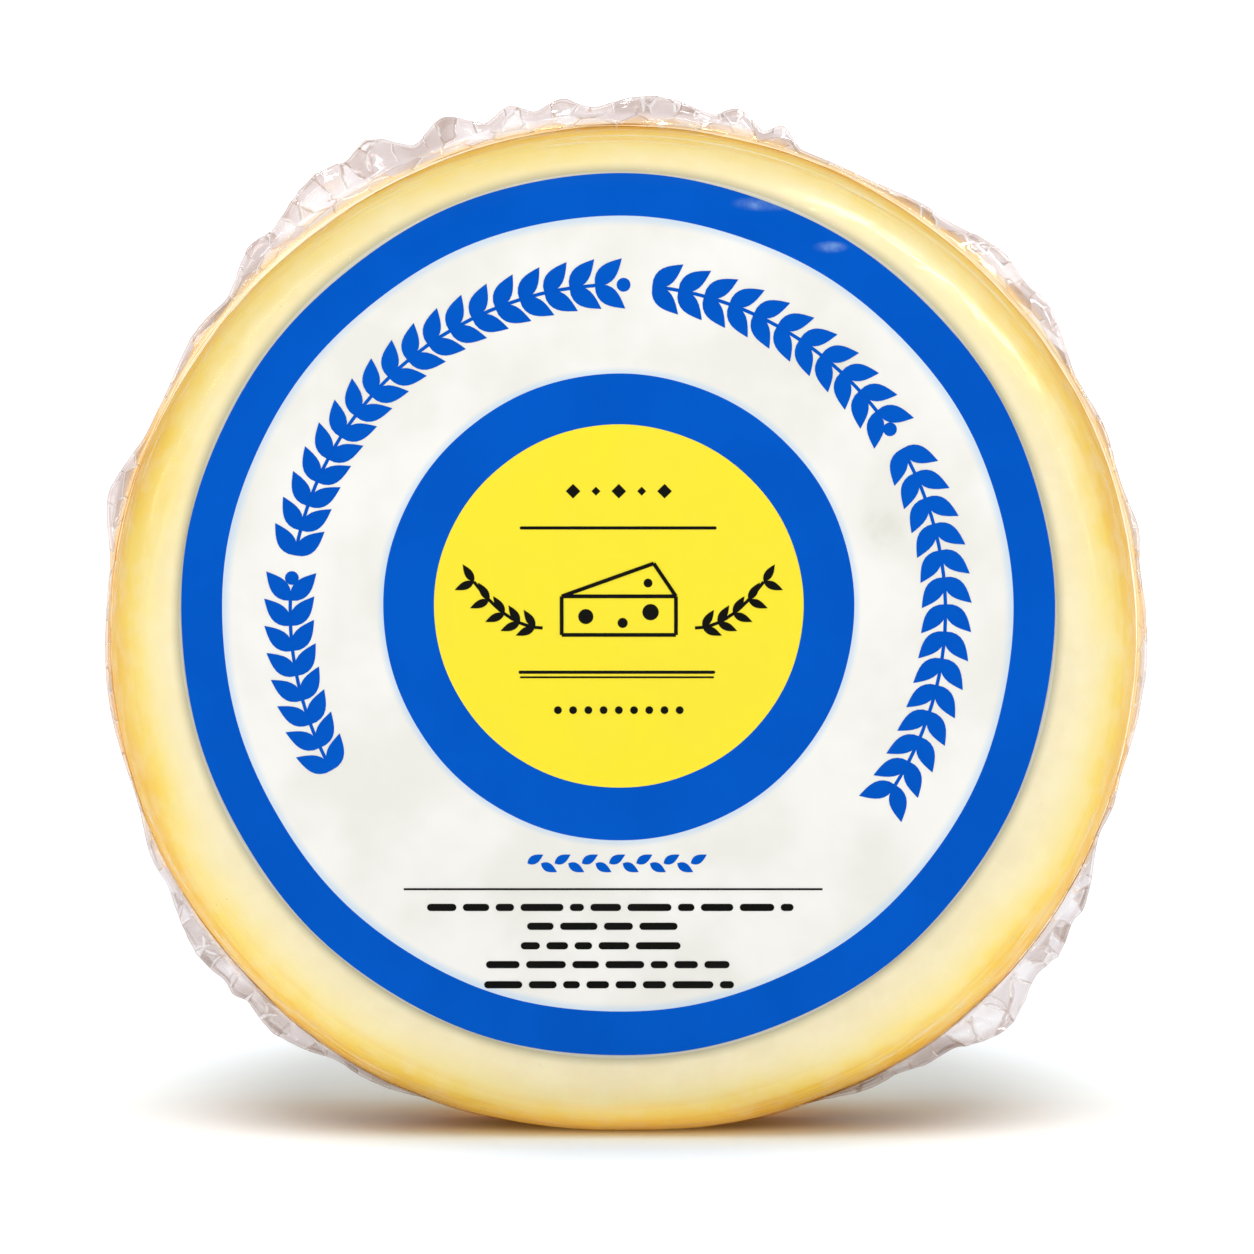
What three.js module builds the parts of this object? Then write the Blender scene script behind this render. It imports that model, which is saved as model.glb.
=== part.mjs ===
// A small smoked provolone wheel in a clear vacuum bag, standing on its edge.
// The bag hugs the wheel, its surplus film stands round the rim as a crinkled fringe, and its
// front carries a round print: a blue rim, a white field, a blue band and a yellow centre.
// Millimetres, +Z up. The origin is on the floor under the middle of the pack, and the print faces -Y.
// Angles run clockwise from the top, as seen from the front.
import * as THREE from "three";

// The wheel: its outline is a slightly wide oval that has sagged, its side a superellipse.
const HALF_WIDTH = 81.9;
const HALF_HEIGHT = 80.3;
const HALF_THICKNESS = 23;
const SHOULDER = 13; // how far in from the rim the flat face ends
const SQUARENESS = 2.6; // 2 is a round shoulder, more is squarer
const SAG = 0.9; // bulge of the lower quarters
const PRESSED = 1.3; // how much the wheel is flattened where it rests

// The fringe of surplus film round the rim.
const FRINGE_Y = 3; // the seam runs a little behind the middle of the rim
const FRINGE_ROOT = 1.6; // thickness of the fringe where it leaves the rim
const FRINGE_TIP = 0.7; // thickness at its edge
const FRINGE_SWAY = 0.42; // how far it leans to and fro, as a share of its reach
const LEAST_REACH = 1.1;
const PRESSED_REACH = 0.4; // where the fringe is folded under the wheel
const PEAK = 1.6; // 1 gives lobes with sharp crests, 2 with round ones
const BLEND = 8; // more gives sharper valleys between lobes
// Each lobe of the fringe: the angle of its crest, the turn in degrees over which it falls to about
// a third, and its reach.
const LOBES = [
  { at: 3, half: 10, reach: 4.8 },
  { at: 12.2, half: 3.6, reach: 4.7 },
  { at: 17.4, half: 2.4, reach: 3.8 },
  { at: 36, half: 9, reach: 2.3 },
  { at: 45.2, half: 9, reach: 4.4 },
  { at: 52.2, half: 7, reach: 4.2 },
  { at: 67, half: 8, reach: 1.7 },
  { at: 79, half: 6, reach: 2.1 },
  { at: 94, half: 16, reach: 2.2 },
  { at: 110, half: 5, reach: 1.6 },
  { at: 121.4, half: 6.5, reach: 4.2 },
  { at: 127.2, half: 7, reach: 5.3 },
  { at: 136, half: 8.5, reach: 7.2 },
  { at: 144, half: 7, reach: 4.1 },
  { at: 151, half: 9, reach: 2.7 },
  { at: 210, half: 9, reach: 2.6 },
  { at: 221.2, half: 8, reach: 5 },
  { at: 227, half: 4, reach: 4.3 },
  { at: 232.6, half: 9.5, reach: 4.9 },
  { at: 243, half: 8, reach: 2.7 },
  { at: 262, half: 16, reach: 1.6 },
  { at: 284.8, half: 6.5, reach: 3.7 },
  { at: 305, half: 9, reach: 2.6 },
  { at: 316, half: 6, reach: 5.2 },
  { at: 326, half: 11, reach: 7.5 },
  { at: 332, half: 5, reach: 8.2 },
  { at: 340.4, half: 5.6, reach: 6.3 },
  { at: 347.5, half: 4.2, reach: 5.1 },
  { at: 353, half: 5, reach: 4.8 },
];

// The print: each field ends at an oval, set a little left of and above the wheel's middle.
const PRINT_GAP = 0.3; // between the wheel and the print, and between two fields
const PRINT_THICKNESS = 0.3;
const CENTRE = { x: -1.0, z: 5.8, halfWidth: 29.1, halfHeight: 28.7 };
const BAND = { x: -1.0, z: 5.6, halfWidth: 37.1, halfHeight: 36.9 };
const FIELD = { x: -1.15, z: 4.3, halfWidth: 62.3, halfHeight: 62.9 };
const RIM = { x: -1.1, z: 4.1, halfWidth: 68.8, halfHeight: 69.7 };

// Fineness of the meshes.
const WHEEL_STEPS = 240;
const SIDE_STEPS = 8; // from the flat face to the fringe
const PRINT_STEPS = 72;

const YELLOW_RIND = new THREE.MeshStandardMaterial({ color: "#f2cf7a", roughness: 0.32 });
const PRINT_BLUE = new THREE.MeshStandardMaterial({ color: "#025bc8", roughness: 0.35 });
const PRINT_WHITE = new THREE.MeshStandardMaterial({ color: "#f5f4ef", roughness: 0.4 });
const PRINT_YELLOW = new THREE.MeshStandardMaterial({ color: "#fdee3c", roughness: 0.38 });

const radians = THREE.MathUtils.degToRad;

// Distance from the wheel's axis to its rim.
function outline(angle) {
  const oval = (HALF_WIDTH * HALF_HEIGHT) /
    Math.hypot(HALF_HEIGHT * Math.sin(angle), HALF_WIDTH * Math.cos(angle));
  const sag = SAG * Math.max(0, -Math.cos(angle)) * Math.abs(Math.sin(2 * angle));
  const unevenness = 0.22 * Math.sin(3 * angle + 1) + 0.16 * Math.sin(5 * angle + 2.2);
  return oval + sag + unevenness;
}

// Smallest turn between two angles in degrees.
function turnBetween(a, b) {
  return Math.abs(((a - b + 540) % 360) - 180);
}

// How far the fringe stands out of the rim.
function reach(angle) {
  const degrees = THREE.MathUtils.radToDeg(angle);
  const underneath = THREE.MathUtils.smoothstep(turnBetween(degrees, 180), 14, 30);
  let total = THREE.MathUtils.lerp(PRESSED_REACH, LEAST_REACH, underneath) ** BLEND;
  for (const lobe of LOBES) {
    const share = turnBetween(degrees, lobe.at) / lobe.half;
    total += (lobe.reach * Math.exp(-(share ** PEAK))) ** BLEND;
  }
  return total ** (1 / BLEND);
}

// The fringe leans to one side and back, about twice in a lobe.
function sway(angle) {
  const slow = Math.sin(23 * angle + 1.4 * Math.sin(5 * angle));
  const quick = Math.sin(41 * angle + 2.1 * Math.sin(7 * angle + 1));
  return FRINGE_SWAY * reach(angle) * (0.6 * slow + 0.4 * quick);
}

// Half the thickness of the wheel at this share of the shoulder, 0 at the flat face and 1 at the rim.
function sideDepth(share) {
  return HALF_THICKNESS * (1 - share ** SQUARENESS) ** (1 / SQUARENESS);
}

// A cross-section of the pack at one angle, from the middle of the front to the middle of the back.
// Each point is a distance from the axis and a depth.
function section(angle) {
  const rim = outline(angle);
  const flat = rim - SHOULDER;
  const half = [new THREE.Vector2(0, HALF_THICKNESS)];
  for (let i = 0; i < SIDE_STEPS; i++) {
    const turn = (Math.PI / 2) * (i / SIDE_STEPS);
    const share = Math.sin(turn) ** (2 / SQUARENESS);
    half.push(new THREE.Vector2(flat + SHOULDER * share, sideDepth(share)));
  }
  const out = reach(angle);
  const lean = sway(angle);
  const root = rim - 0.25;
  const front = half.map((p) => new THREE.Vector2(p.x, -p.y));
  const back = half.map((p) => p.clone()).reverse();
  const fringe = [
    new THREE.Vector2(root, FRINGE_Y - FRINGE_ROOT / 2),
    new THREE.Vector2(rim + out * 0.55, FRINGE_Y + lean * 0.5 - (FRINGE_ROOT + FRINGE_TIP) / 4),
    new THREE.Vector2(rim + out, FRINGE_Y + lean - FRINGE_TIP / 2),
    new THREE.Vector2(rim + out, FRINGE_Y + lean + FRINGE_TIP / 2),
    new THREE.Vector2(rim + out * 0.55, FRINGE_Y + lean * 0.5 + (FRINGE_ROOT + FRINGE_TIP) / 4),
    new THREE.Vector2(root, FRINGE_Y + FRINGE_ROOT / 2),
  ];
  return [...front, ...fringe, ...back];
}

// The wheel in its film: a lathed section whose every angle then gets its own outline and fringe.
function wheelGeometry() {
  const floor = PRESSED - HALF_HEIGHT;
  const geometry = new THREE.LatheGeometry(section(0), WHEEL_STEPS);
  const position = geometry.getAttribute("position");
  const count = position.count / (WHEEL_STEPS + 1);
  for (let i = 0; i <= WHEEL_STEPS; i++) {
    const angle = ((i % WHEEL_STEPS) / WHEEL_STEPS) * 2 * Math.PI;
    section(angle).forEach((p, j) => {
      const z = Math.max(p.x * Math.cos(angle), floor);
      position.setXYZ(i * count + j, p.x * Math.sin(angle), p.y, z);
    });
  }
  return geometry;
}

// Depth of the wheel's front at a point across and up from its middle.
function frontDepth(x, z) {
  const flat = outline(Math.atan2(x, z)) - SHOULDER;
  const share = THREE.MathUtils.clamp((Math.hypot(x, z) - flat) / SHOULDER, 0, 1);
  return -sideDepth(share);
}

// A thin field of print between two ovals, or inside one, laid along the wheel's front.
function fieldGeometry(outer, inner, radialSteps) {
  const profile = [];
  for (let i = 0; i <= radialSteps; i++) profile.push(new THREE.Vector2(i / radialSteps, 0));
  for (let i = radialSteps; i >= 0; i--) profile.push(new THREE.Vector2(i / radialSteps, 1));
  if (inner) profile.push(profile[0].clone());
  const geometry = new THREE.LatheGeometry(profile, PRINT_STEPS);
  const position = geometry.getAttribute("position");
  for (let i = 0; i < position.count; i++) {
    const step = Math.floor(i / profile.length);
    const angle = ((step % PRINT_STEPS) / PRINT_STEPS) * 2 * Math.PI;
    const across = Math.sin(angle);
    const up = Math.cos(angle);
    const { x: share, y: layer } = profile[i % profile.length];
    const start = inner
      ? {
          x: inner.x + across * (inner.halfWidth + PRINT_GAP),
          z: inner.z + up * (inner.halfHeight + PRINT_GAP),
        }
      : { x: outer.x, z: outer.z };
    const x = THREE.MathUtils.lerp(start.x, outer.x + across * outer.halfWidth, share);
    const z = THREE.MathUtils.lerp(start.z, outer.z + up * outer.halfHeight, share);
    position.setXYZ(i, x, frontDepth(x, z) - PRINT_GAP - PRINT_THICKNESS * (1 - layer), z);
  }
  return geometry;
}

function named(name, geometry, material) {
  const mesh = new THREE.Mesh(geometry, material);
  mesh.name = name;
  return mesh;
}

const pack = new THREE.Group();
pack.add(
  named("wrapped_cheese", wheelGeometry(), YELLOW_RIND),
  named("print_rim", fieldGeometry(RIM, FIELD, 3), PRINT_BLUE),
  named("print_field", fieldGeometry(FIELD, BAND, 1), PRINT_WHITE),
  named("print_band", fieldGeometry(BAND, CENTRE, 1), PRINT_BLUE),
  named("print_centre", fieldGeometry(CENTRE, null, 1), PRINT_YELLOW),
);

// Stands the pack on the floor with the origin under the middle of its box.
const box = new THREE.Box3().setFromObject(pack, true);
const middle = box.getCenter(new THREE.Vector3());
for (const mesh of pack.children) mesh.position.set(-middle.x, -middle.y, -box.min.z);

export default pack;
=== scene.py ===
"""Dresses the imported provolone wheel: the cheese, its clear bag with the crinkled fringe, the print,
the floor, the light and the camera."""

import math
import random

import bpy
import numpy as np
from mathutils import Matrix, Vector, noise
from mathutils.bvhtree import BVHTree


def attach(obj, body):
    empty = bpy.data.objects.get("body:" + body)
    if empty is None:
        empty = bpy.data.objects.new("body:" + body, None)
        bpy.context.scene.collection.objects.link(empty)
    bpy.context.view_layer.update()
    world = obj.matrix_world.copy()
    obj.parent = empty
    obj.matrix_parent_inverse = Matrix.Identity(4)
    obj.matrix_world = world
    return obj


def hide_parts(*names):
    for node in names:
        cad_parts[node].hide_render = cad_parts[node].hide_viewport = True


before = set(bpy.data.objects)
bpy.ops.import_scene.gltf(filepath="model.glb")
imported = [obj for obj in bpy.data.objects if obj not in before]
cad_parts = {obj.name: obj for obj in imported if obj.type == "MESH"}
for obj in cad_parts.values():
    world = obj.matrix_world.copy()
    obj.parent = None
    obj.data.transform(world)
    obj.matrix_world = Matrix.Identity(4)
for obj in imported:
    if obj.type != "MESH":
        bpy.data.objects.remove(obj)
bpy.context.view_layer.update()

MM = 0.001
SEED = 7

# The wheel, as in the solids. Millimetres from the middle of the wheel, X right, Y back and Z up.
# Angles run clockwise from the top, as seen from the front.
WHEEL_MIDDLE = np.array([-0.18, 0.3, 79.0])
HALF_WIDTH = 81.9
HALF_HEIGHT = 80.3
HALF_THICKNESS = 23.0
SHOULDER = 13.0
SQUARENESS = 2.6
SAG = 0.9
PRESSED = 1.3

# The fringe of surplus film round the rim.
RIM_LENGTH = 2 * np.pi * HALF_WIDTH
FRINGE_Y = 3.0
FOOT_Y = 0.6
EDGE_ROLL = 0.3
FRINGE_SWAY = 0.42
LEAST_REACH = 1.1
PRESSED_REACH = 0.4
PEAK = 1.6
BLEND = 8
# Each lobe of the fringe: the angle of its crest, the turn in degrees over which it falls to about
# a third, and its reach.
LOBES = [
    (3, 10, 4.8),
    (12.2, 3.6, 4.7),
    (17.4, 2.4, 3.8),
    (36, 9, 2.3),
    (45.2, 9, 4.4),
    (52.2, 7, 4.2),
    (67, 8, 1.7),
    (79, 6, 2.1),
    (94, 16, 2.2),
    (110, 5, 1.6),
    (121.4, 6.5, 4.2),
    (127.2, 7, 5.3),
    (136, 8.5, 7.2),
    (144, 7, 4.1),
    (151, 9, 2.7),
    (210, 9, 2.6),
    (221.2, 8, 5),
    (227, 4, 4.3),
    (232.6, 9.5, 4.9),
    (243, 8, 2.7),
    (262, 16, 1.6),
    (284.8, 6.5, 3.7),
    (305, 9, 2.6),
    (316, 6, 5.2),
    (326, 11, 7.5),
    (332, 5, 8.2),
    (340.4, 5.6, 6.3),
    (347.5, 4.2, 5.1),
    (353, 5, 4.8),
]

# The print: each field ends at an oval (x, z, half width, half height).
CENTRE = (-1.0, 5.8, 29.1, 28.7)
BAND = (-1.0, 5.6, 37.1, 36.9)
FIELD = (-1.15, 4.3, 62.3, 62.9)
RIM = (-1.1, 4.1, 68.8, 69.7)
WHEEL = (0, 0, HALF_WIDTH, HALF_HEIGHT)
PRINT_LIFT = 0.30
WAVER = 0.14  # of the fields' edges
# Painted gleams on the blue rim, soft highlights of the film's gloss, and grey patches on the white field,
# as ovals too.
GLEAMS = [(22.0, 69.2, 6.0, 1.4), (32.2, 62.4, 3.2, 1.1)]
GREY_PATCHES = [(31.2, 43.8, 6.5, 5.5), (40.8, 18.1, 4.5, 4.5)]

# The motifs on the print. Layers keep shapes that overlap apart.
MOTIF_LIFT = 0.34
LAYER_STEP = 0.012
GARLAND_RADIUS = 51.6
GARLAND_RISE = 0.6
SPRIGS = [(-119, -88), (-80, -4), (6, 52), (60, 122)]  # from angle, to angle
LEAF_TURN = 4.6  # degrees between two pairs of leaves
LEAF_LEAN = 0.72
CHAIN_Z = -34.9
CHAIN_STEP = 2.15
SMALL_ROWS = [  # z, from x, to x
    (-41.9, -31.3, 26.6),
    (-44.9, -15.5, 10.0),
    (-48.0, -16.5, 11.0),
    (-51.0, -22.0, 16.5),
    (-54.2, -22.3, 17.2),
]
BAR_HEIGHT = 1.15
BAR_GAP = 1.0
BAR_LENGTHS = (2.2, 7.5)
SHORTEST_BAR = 1.5

# The relief of the cheese under the film: height and size.
RELIEF = [(0.30, 26), (0.13, 9), (0.04, 3.2)]

# How far the cheese lies within the wheel's outline and the bag outside it, and where the bag leaves
# the cheese to form the fringe.
CHEESE_INSET = 0.12
BAG_LIFT = 0.16
FRONT_LEAVE_Y = -5.0
BACK_LEAVE_Y = 9.0

# Crumpled film: length of its facets along the rim, their width across it and their height.
LOW_CRUMPLE = (5.0, 1.2, 0.35)
HIGH_CRUMPLE = (3.8, 3.2, 0.50)
TALL_CRUMPLE = (3.2, 9.0, 0.90)
PLEATS = (9, 1.0, 0.22)
EDGE_NICKS = (1.3, 1, 0.03)
CLINGING_CRUMPLE = (13, 1.6, 0.07)

# Long creases of the bag along the rim: from angle, to angle, inset from the rim, height, width.
CREASES = [
    (-14, 9, 4.6, 0.20, 0.45),
    (-3, 24, 6.6, 0.16, 0.40),
    (20, 70, 6.0, 0.16, 0.30),
    (48, 92, 4.0, 0.14, 0.35),
    (196, 238, 3.8, 0.12, 0.50),
    (246, 284, 3.0, 0.18, 0.40),
    (286, 322, 5.4, 0.16, 0.35),
    (326, 352, 5.6, 0.12, 0.40),
]
SMALL_PINCHES = 26
PINCH_HEIGHT = 0.22
PINCH_WIDTH = 0.35

# Fineness of the meshes.
CHEESE_STEPS = 720
SHOULDER_STEPS = 30
BAG_STEPS = 1800
BAG_FRONT_STEPS = 30
BAG_BACK_STEPS = 20
FRINGE_FRONT_STEPS = 22
FRINGE_BACK_STEPS = 12
FRONT_PLEAT_STEPS = 9
BACK_PLEAT_STEPS = 7
FIELD_STEPS = 360
FIELD_RINGS = 9

# Facets in the loose film's shading: length along the rim, width across it, and their random tilt.
LOW_FACETS = (4.6, 1.5)
HIGH_FACETS = (3.4, 7.5)
FACET_TILT = (0.9, 0.9, 0.9)
HALF_TILT = (-0.45, -0.45, -0.45)
FACET_BEND = 4.0
# Distances out from the rim, negative inward, over which a look of the film sets in or ends.
LEAVING_RIM = (0.0, 0.8)
TALLER_FACETS = (1.8, 2.8)
WARM_CREASE_SHADE_END = (1.8, 3.5)
ORANGE_REFRACTION_END = (0.8, 2.6)
GOLD_START = (-0.8, 0.2)
GOLD_END = (0.4, 1.3)
LINES_START = (-2.6, -0.8)
LINES_END = (0.6, 1.6)
CHEESE_REFLECTION_END = (0.6, 2.2)
# The film's share of gloss, where it clings and where it is loose.
CLINGING_GLOSS = 0.025
LOOSE_GLOSS = 0.09

# The photograph's frame, in its pixels.
FRAME_PX = 1254
WHEEL_PX = (625.2, 630.2)
MM_PER_PX = 0.16
CAMERA_DISTANCE = 1500.0
CAMERA_ELEVATION = 5.0
SENSOR_WIDTH = 36

# Light and floor, in metres. The floor has a painted contact shadow where the wheel stands on it, and
# a painted glow beyond the soft shadow round it.
WORLD_STRENGTH = 0.585
LIGHT_TARGET = (0, 0, 0.08)
FLOOR_HALF = 30.0
# Painted contact shadow on the floor under the wheel: its middle, scale and darkness.
CONTACT_SHADOW_MIDDLE = (0.0, -0.004, 0.0)
CONTACT_SHADOW_SCALE = (1 / 0.040, 1 / 0.013, 0.0)
CONTACT_SHADOW_DARKNESS = 0.85
# Painted soft shadow: the oval round the wheel where the floor's glow stops.
SHADOW_MIDDLE = (0.0, 0.04, 0.0)
SHADOW_SCALE = (1 / 0.060, 1 / 0.075, 0.0)
FLOOR_GLOW = 0.40
FAR_GLOW = 0.30
FAR_LEVEL = 1.35


# Shape of the wheel

def smoothstep(x, low, high):
    t = np.clip((x - low) / (high - low), 0, 1)
    return t * t * (3 - 2 * t)


def turn_between(a, b):
    """Smallest turn between two angles in degrees."""
    return np.abs((a - b + 540) % 360 - 180)


def outline(angle):
    """Distance from the wheel's axis to its rim."""
    oval = HALF_WIDTH * HALF_HEIGHT / np.hypot(HALF_HEIGHT * np.sin(angle), HALF_WIDTH * np.cos(angle))
    sag = SAG * np.maximum(0, -np.cos(angle)) * np.abs(np.sin(2 * angle))
    return oval + sag + 0.22 * np.sin(3 * angle + 1) + 0.16 * np.sin(5 * angle + 2.2)


def reach(angle):
    """How far the fringe stands out of the rim."""
    degrees = np.degrees(angle)
    underneath = smoothstep(turn_between(degrees, 180), 14, 30)
    total = (PRESSED_REACH + (LEAST_REACH - PRESSED_REACH) * underneath) ** BLEND
    for at, half, lobe_reach in LOBES:
        share = turn_between(degrees, at) / half
        total = total + (lobe_reach * np.exp(-(share**PEAK))) ** BLEND
    return total ** (1 / BLEND)


def sway(angle):
    """How far the fringe's edge leans back and forth."""
    slow = np.sin(23 * angle + 1.4 * np.sin(5 * angle))
    quick = np.sin(41 * angle + 2.1 * np.sin(7 * angle + 1))
    return FRINGE_SWAY * reach(angle) * (0.6 * slow + 0.4 * quick)


def side_depth(share):
    """Half the wheel's thickness at this share of the shoulder, 0 at the flat face and 1 at the rim."""
    return HALF_THICKNESS * (1 - np.clip(share, 0, 1) ** SQUARENESS) ** (1 / SQUARENESS)


def side_share(depth):
    """Share of the shoulder at which the wheel is this deep."""
    return (1 - (abs(depth) / HALF_THICKNESS) ** SQUARENESS) ** (1 / SQUARENESS)


def wheel_points(angle, radius, depth):
    """Points at these angles, distances from the axis and depths."""
    return np.stack([radius * np.sin(angle), depth + 0 * radius, radius * np.cos(angle)], axis=-1)


def grid_normals(points):
    """Outward normals of a grid whose rows run round the wheel and columns from front to back."""
    around = np.roll(points, -1, axis=0) - np.roll(points, 1, axis=0)
    across = np.gradient(points, axis=1)
    normal = np.cross(around, across)
    length = np.linalg.norm(normal, axis=-1, keepdims=True)
    return normal / np.maximum(length, 1e-9)


def field_noise(points, size, seed):
    """Smooth noise from -1 to 1 at each point, with features of this size in millimetres."""
    flat = points.reshape(-1, 3) / size + seed * 17.3
    values = [noise.noise(p) for p in flat.tolist()]
    return np.array(values).reshape(points.shape[:-1])


def relief(points):
    """Unevenness of the cheese under the film."""
    angle = np.arctan2(points[..., 0], points[..., 2])
    beyond_print = np.hypot(points[..., 0], points[..., 2]) - print_edge(RIM, angle)
    on_back = points[..., 1] > 0
    waves = [tall * field_noise(points, size, seed) for seed, (tall, size) in enumerate(RELIEF, 1)]
    return sum(waves) * np.where(on_back, 1, smoothstep(beyond_print, 0, 5))


def press_on_floor(points, clear=0.0):
    """Flattens the points where the wheel rests."""
    points[..., 2] = np.maximum(points[..., 2], PRESSED - HALF_HEIGHT + clear)
    return points


def print_edge(oval, angle, inset=0.0):
    """Distance from the wheel's axis to the edge of a print field, in this direction from the axis."""
    x, z, half_width, half_height = oval
    half_width, half_height = half_width - inset, half_height - inset
    across, up = np.sin(angle) / half_width, np.cos(angle) / half_height
    square = across**2 + up**2
    middle = across * x / half_width + up * z / half_height
    rest = (x / half_width) ** 2 + (z / half_height) ** 2 - 1
    return (middle + np.sqrt(middle**2 - square * rest)) / square


# Making meshes

def mesh_object(name, vertices, faces, material, smooth=True):
    """A piece from vertices in millimetres about the middle of the wheel."""
    mesh = bpy.data.meshes.new(name)
    mesh.from_pydata(((np.asarray(vertices) + WHEEL_MIDDLE) * MM).tolist(), [], faces)
    mesh.polygons.foreach_set("use_smooth", [smooth] * len(mesh.polygons))
    mesh.materials.append(material)
    mesh.update()
    piece = bpy.data.objects.new(name, mesh)
    bpy.context.scene.collection.objects.link(piece)
    return piece


def grid_object(name, points, material):
    """A piece from a grid of points that closes on itself along its first axis."""
    around, across = points.shape[:2]
    faces = []
    for i in range(around):
        start, following = i * across, ((i + 1) % around) * across
        for j in range(across - 1):
            faces.append((start + j, following + j, following + j + 1, start + j + 1))
    return mesh_object(name, points.reshape(-1, 3), faces, material)


def ring_of_angles(count):
    return np.linspace(0, 2 * np.pi, count, endpoint=False)[:, None]


# Shader helpers

def linear(red, green, blue):
    """A colour from the usual 0 to 255 values."""
    channels = [c / 255 for c in (red, green, blue)]
    return tuple(c / 12.92 if c <= 0.04045 else ((c + 0.055) / 1.055) ** 2.4 for c in channels) + (1.0,)


class Nodes:
    """Builds a node tree with short calls."""

    def __init__(self, tree):
        self.tree = tree
        tree.nodes.clear()

    def add(self, kind, inputs=None, **settings):
        node = self.tree.nodes.new("ShaderNode" + kind)
        for key, value in settings.items():
            setattr(node, key, value)
        for key, value in (inputs or {}).items():
            self.feed(node.inputs[key], value)
        return node

    def feed(self, socket, value):
        """Links a socket to another node's output, or gives it a plain value."""
        if isinstance(value, bpy.types.NodeSocket):
            self.tree.links.new(value, socket)
        else:
            socket.default_value = value

    def math(self, operation, first, second=0.0):
        return self.add("Math", {0: first, 1: second}, operation=operation).outputs[0]

    def plus(self, first, second):
        return self.math("ADD", first, second)

    def times(self, first, second):
        return self.math("MULTIPLY", first, second)

    def vector(self, operation, *inputs):
        return self.add("VectorMath", dict(enumerate(inputs)), operation=operation).outputs[0]

    def length(self, vector):
        return self.add("VectorMath", {0: vector}, operation="LENGTH").outputs["Value"]

    def position(self):
        return self.add("TexCoord").outputs["Object"]

    def span(self, value, low, high, start=0.0, end=1.0):
        """A smooth step from start to end, over the values from low to high."""
        inputs = {"Value": value, "From Min": low, "From Max": high, "To Min": start, "To Max": end}
        return self.add("MapRange", inputs, interpolation_type="SMOOTHSTEP").outputs["Result"]

    def fade(self, value, low, high, start=1.0):
        """A smooth step down to nothing."""
        return self.span(value, low, high, start, 0.0)

    def blend(self, share, first, second):
        node = self.add("Mix", {"Factor": share}, data_type="RGBA")
        self.feed(node.inputs[6], first)
        self.feed(node.inputs[7], second)
        return node.outputs[2]

    def stain(self, colour, mask, strength, stain):
        """A colour with another over it where the mask is 1, at this strength."""
        return self.blend(self.times(mask, strength), colour, stain)

    def ramp(self, value, stops):
        node = self.add("ValToRGB", {"Fac": value})
        elements = node.color_ramp.elements
        while len(elements) < len(stops):
            elements.new(0.5)
        for element, (position, colour) in zip(elements, stops):
            element.position = position
            element.color = colour
        return node.outputs["Color"]

    def noise(self, scale, detail=2.0, roughness=0.5, vector=None):
        place = self.position() if vector is None else vector
        inputs = {"Vector": place, "Scale": scale, "Detail": detail, "Roughness": roughness}
        return self.add("TexNoise", inputs).outputs["Fac"]

    def oval_share(self, oval):
        """Distance from the middle of an oval on the front, as a share of the oval's own radius."""
        x, z, half_width, half_height = oval
        middle = ((WHEEL_MIDDLE[0] + x) * MM, 0, (WHEEL_MIDDLE[2] + z) * MM)
        moved = self.vector("SUBTRACT", self.position(), middle)
        sizes = (1 / (half_width * MM), 0, 1 / (half_height * MM))
        return self.length(self.vector("MULTIPLY", moved, sizes))

    def rim_place(self, rim_share):
        """How far a point lies along the rim, and how far outside it, in millimetres."""
        moved = self.vector("SUBTRACT", self.position(), tuple(WHEEL_MIDDLE * MM))
        parts = self.add("SeparateXYZ", {0: moved}).outputs
        along = self.times(self.math("ARCTAN2", parts["X"], parts["Z"]), HALF_WIDTH)
        out = self.times(self.math("SUBTRACT", rim_share, 1.0), HALF_WIDTH)
        return along, out

    def facets(self, along, out, length, width):
        """Random flat facets of about this size: a random vector for each, and the distance to its edge."""
        place = {"X": self.times(along, 1 / length), "Y": self.times(out, 1 / width)}
        inputs = {"Vector": self.add("CombineXYZ", place).outputs[0], "Scale": 1.0}
        cells = self.add("TexVoronoi", inputs, voronoi_dimensions="2D")
        edges = self.add("TexVoronoi", inputs, voronoi_dimensions="2D", feature="DISTANCE_TO_EDGE")
        return cells.outputs["Color"], edges.outputs["Distance"]

    def contour(self, value, level, half_width):
        """Thin lines where a value passes a level."""
        away = self.math("ABSOLUTE", self.math("SUBTRACT", value, level))
        return self.fade(away, 0.0, half_width)

    def rim_streaks(self, rim_share, fineness):
        """Noise drawn out into streaks that run along the rim."""
        inward = self.add("CombineXYZ", {"X": self.times(rim_share, fineness)}).outputs[0]
        slow = self.vector("MULTIPLY", self.position(), (14, 14, 14))
        return self.noise(1.0, 3, 0.6, self.vector("ADD", slow, inward))


def new_material(name):
    material = bpy.data.materials.new(name)
    material.use_nodes = True
    nodes = Nodes(material.node_tree)
    output = nodes.add("OutputMaterial")
    return material, nodes, output.inputs["Surface"]


# Colours

WHITE = (1, 1, 1, 1)

RIND_TONES = [  # from beside the print to the smoked rim
    (0.0, linear(236, 226, 192)),
    (0.25, linear(245, 232, 189)),
    (0.48, linear(249, 232, 170)),
    (0.66, linear(252, 226, 134)),
    (0.80, linear(252, 216, 94)),
    (0.93, linear(246, 194, 52)),
]
SMOKE = linear(240, 186, 70)
CURD = linear(255, 248, 222)
# Painted shadow on the cheese beside the print's edge.
PAINTED_PRINT_SHADOW = linear(186, 181, 150)
PRINT_EDGE = linear(240, 244, 240)
SPECK = linear(140, 120, 80)
# Colour of the painted glow on the cheese just above the floor.
PAINTED_FOOT_GLOW = linear(214, 168, 84)

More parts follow.
